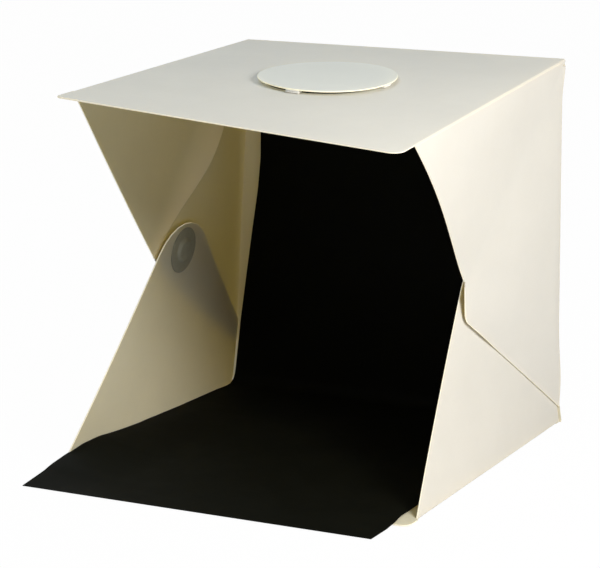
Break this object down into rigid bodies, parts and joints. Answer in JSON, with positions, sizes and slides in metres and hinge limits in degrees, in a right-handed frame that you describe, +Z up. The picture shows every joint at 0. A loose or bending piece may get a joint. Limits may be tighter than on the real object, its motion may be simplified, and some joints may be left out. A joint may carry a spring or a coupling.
{
  "type": "light tent",
  "caption": "Folding cube light tent of thin sheet with magnetic side flaps, a covered hole and a lamp strip in the top, and a swept black backdrop.",
  "frame": {"origin": "on the bottom panel's underside, under the middle of the top's width and the middle of the bottom panel's depth", "axes": "+Z up, +Y towards the back panel, +X to the right as seen from the open front"},
  "size_m": [0.2514, 0.254, 0.2433],
  "materials": {
    "sheet": "satin, very fine grain, off-white",
    "magnet": "nickel plated",
    "patch": "thin cloudy film",
    "white_fastener": "white hook and loop",
    "black_fastener": "black loop",
    "backdrop": "deep matt black",
    "tape": "foam tape",
    "board": "white solder mask",
    "lamp": "yellow phosphor in a white rim",
    "resistor": "black with tinned ends",
    "socket": "plated steel",
    "tongue": "black moulding"
  },
  "bodies": {
    "base": {"bottom_panel": "sheet", "backdrop": "backdrop", "backdrop_loop_pad_1": "black_fastener", "backdrop_loop_pad_2": "black_fastener"},
    "back": {"back_panel": "sheet", "backdrop_hook_pad_1": "white_fastener", "backdrop_hook_pad_2": "white_fastener"},
    "top": {"top_panel": "sheet", "cover_hook_pad_1": "white_fastener", "cover_hook_pad_2": "white_fastener", "cover_hook_pad_3": "white_fastener", "cover_hook_pad_4": "white_fastener", "lamp_tape": "tape", "lamp_board": "board", "lamp_1": "lamp", "lamp_2": "lamp", "lamp_3": "lamp", "lamp_4": "lamp", "lamp_5": "lamp", "lamp_6": "lamp", "lamp_7": "lamp", "lamp_8": "lamp", "lamp_9": "lamp", "lamp_10": "lamp", "lamp_11": "lamp", "lamp_12": "lamp", "lamp_13": "lamp", "lamp_14": "lamp", "lamp_15": "lamp", "lamp_16": "lamp", "lamp_17": "lamp", "lamp_18": "lamp", "lamp_19": "lamp", "lamp_20": "lamp", "strip_resistor_1": "resistor", "strip_resistor_2": "resistor", "strip_resistor_3": "resistor", "strip_resistor_4": "resistor", "power_socket": "socket", "socket_tongue": "tongue"},
    "cover": {"top_cover": "sheet", "cover_loop_pad_1": "white_fastener", "cover_loop_pad_2": "white_fastener", "cover_loop_pad_3": "white_fastener", "cover_loop_pad_4": "white_fastener"},
    "left_upper": {"left_upper_flap": "sheet"},
    "right_upper": {"right_upper_flap": "sheet"},
    "left_rear": {"left_rear_flap": "sheet", "left_rear_magnet": "magnet"},
    "right_rear": {"right_rear_flap": "sheet", "right_rear_magnet": "magnet"},
    "left_lower": {"left_lower_flap": "sheet", "left_lower_magnet": "magnet", "left_magnet_patch": "patch"},
    "right_lower": {"right_lower_flap": "sheet", "right_lower_magnet": "magnet", "right_magnet_patch": "patch"}
  },
  "joints": [
    {"name": "back_tilt", "type": "hinge", "parent": "base", "child": "back", "pos_m": [0, 0.112, 0.0011], "axis": [-1, 0, 0], "range_deg": [0, 90], "deforming": ["backdrop"]},
    {"name": "top_fold", "type": "hinge", "parent": "back", "child": "top", "pos_m": [0, 0.1109, 0.2392], "axis": [1, 0, 0], "range_deg": [0, 36], "deforming": ["backdrop"]},
    {"name": "left_upper_fold", "type": "hinge", "parent": "top", "child": "left_upper", "pos_m": [-0.1142, 0, 0.2389], "axis": [0, -1, 0], "range_deg": [0, 70.1]},
    {"name": "right_upper_fold", "type": "hinge", "parent": "top", "child": "right_upper", "pos_m": [0.1142, 0, 0.2389], "axis": [0, 1, 0], "range_deg": [0, 63.4]},
    {"name": "left_rear_fold", "type": "hinge", "parent": "back", "child": "left_rear", "pos_m": [-0.1262, 0.1109, 0], "axis": [0.0499, 0, 0.9988], "range_deg": [0, 52.2]},
    {"name": "right_rear_fold", "type": "hinge", "parent": "back", "child": "right_rear", "pos_m": [0.1142, 0.1109, 0], "axis": [0, 0, -1], "range_deg": [0, 48.4]},
    {"name": "left_lower_fold", "type": "hinge", "parent": "base", "child": "left_lower", "pos_m": [-0.1251, 0, 0.0011], "axis": [0, 1, 0], "range_deg": [0, 73.1]},
    {"name": "right_lower_fold", "type": "hinge", "parent": "base", "child": "right_lower", "pos_m": [0.1131, 0, 0.0011], "axis": [0, -1, 0], "range_deg": [0, 61.7]},
    {"name": "cover_lift", "type": "slide", "parent": "top", "child": "cover", "axis": [0, 0, 1], "range_m": [0, 0.05]}
  ],
  "couplings": [
    {"joint": "left_upper_fold", "follows": "top_fold", "ratio": 1.9444},
    {"joint": "right_upper_fold", "follows": "top_fold", "ratio": 1.7583},
    {"joint": "left_rear_fold", "follows": "top_fold", "ratio": 1.4472},
    {"joint": "right_rear_fold", "follows": "top_fold", "ratio": 1.3417},
    {"joint": "left_lower_fold", "follows": "top_fold", "ratio": 2.0278},
    {"joint": "right_lower_fold", "follows": "top_fold", "ratio": 1.7111}
  ]
}
